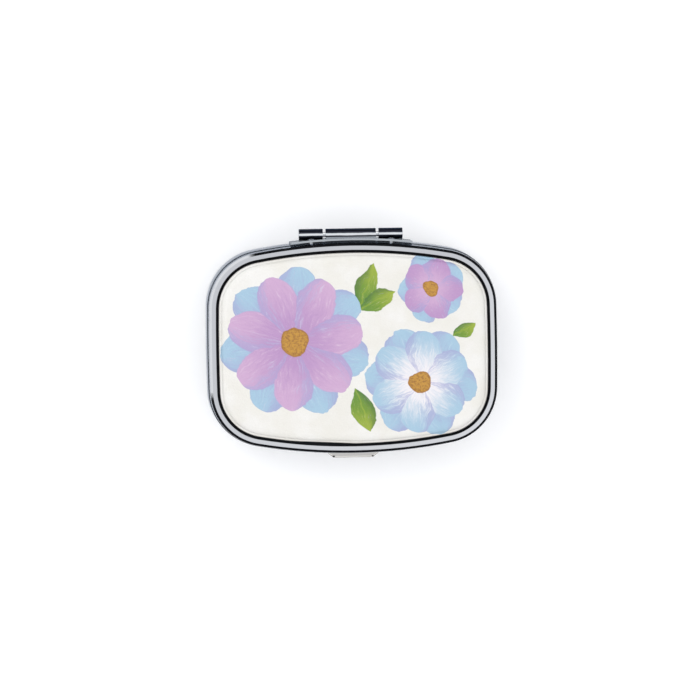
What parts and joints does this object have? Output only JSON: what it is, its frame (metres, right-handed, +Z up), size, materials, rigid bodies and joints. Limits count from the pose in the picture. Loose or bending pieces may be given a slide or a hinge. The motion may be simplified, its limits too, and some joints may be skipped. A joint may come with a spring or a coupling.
{
  "type": "pill box",
  "caption": "Hinged metal pill box with a cushion-shaped outline, padded printed leather lid, push-button catch, divided tray and lid mirror.",
  "frame": {"origin": "centre of the flat underside that the box rests on", "axes": "+Z up, +X along the length, +Y towards the hinge"},
  "size_m": [0.06, 0.0474, 0.0168],
  "materials": {
    "case_steel": "polished nickel plating with fine scratches",
    "ring_steel": "polished nickel plating with fine scratches",
    "hinge_steel": "polished nickel plating, drawn along the barrel",
    "pin_steel": "bright drawn wire",
    "button_metal": "polished nickel plating",
    "latch_steel": "plain stamped strip",
    "spring_steel": "blued spring strip",
    "housing_plastic": "moulded, fine spark grain",
    "tray_plastic": "milky white moulded plastic",
    "frame_plastic": "white moulded plastic",
    "mirror_glass": "silvered flat mirror",
    "tape": "double-sided foam tape",
    "glue": "dried contact glue",
    "board": "grey-brown pressed board",
    "foam": "soft closed-cell foam",
    "printed_leather": "printed synthetic leather, fine grain, satin"
  },
  "bodies": {
    "base": {"base_shell": "case_steel", "base_hinge_leaf": "hinge_steel", "base_leaf_rivets": "hinge_steel", "hinge_pin": "pin_steel", "latch_housing": "housing_plastic", "button_spring": "spring_steel", "pill_tray": "tray_plastic", "tray_tape": "tape"},
    "button": {"push_button": "button_metal", "latch_plate": "latch_steel"},
    "lid": {"lid_shell": "ring_steel", "lid_hinge_leaf": "hinge_steel", "lid_leaf_rivets": "hinge_steel", "lid_hook": "latch_steel", "mirror_frame": "frame_plastic", "mirror": "mirror_glass", "mirror_tape": "tape", "board_glue": "glue", "cover_board": "board", "lid_pad": "foam", "printed_cover": "printed_leather"}
  },
  "joints": [
    {"name": "lid_hinge", "type": "hinge", "parent": "base", "child": "lid", "pos_m": [0, 0.0232, 0.01005], "axis": [-1, 0, 0], "range_deg": [0, 110], "deforming": ["lid_hook"]},
    {"name": "button_press", "type": "slide", "parent": "base", "child": "button", "axis": [0, 1, 0], "range_m": [0, 0.001], "stiffness_N_per_m": 400, "springref_m": -0.002, "deforming": ["button_spring"]}
  ]
}
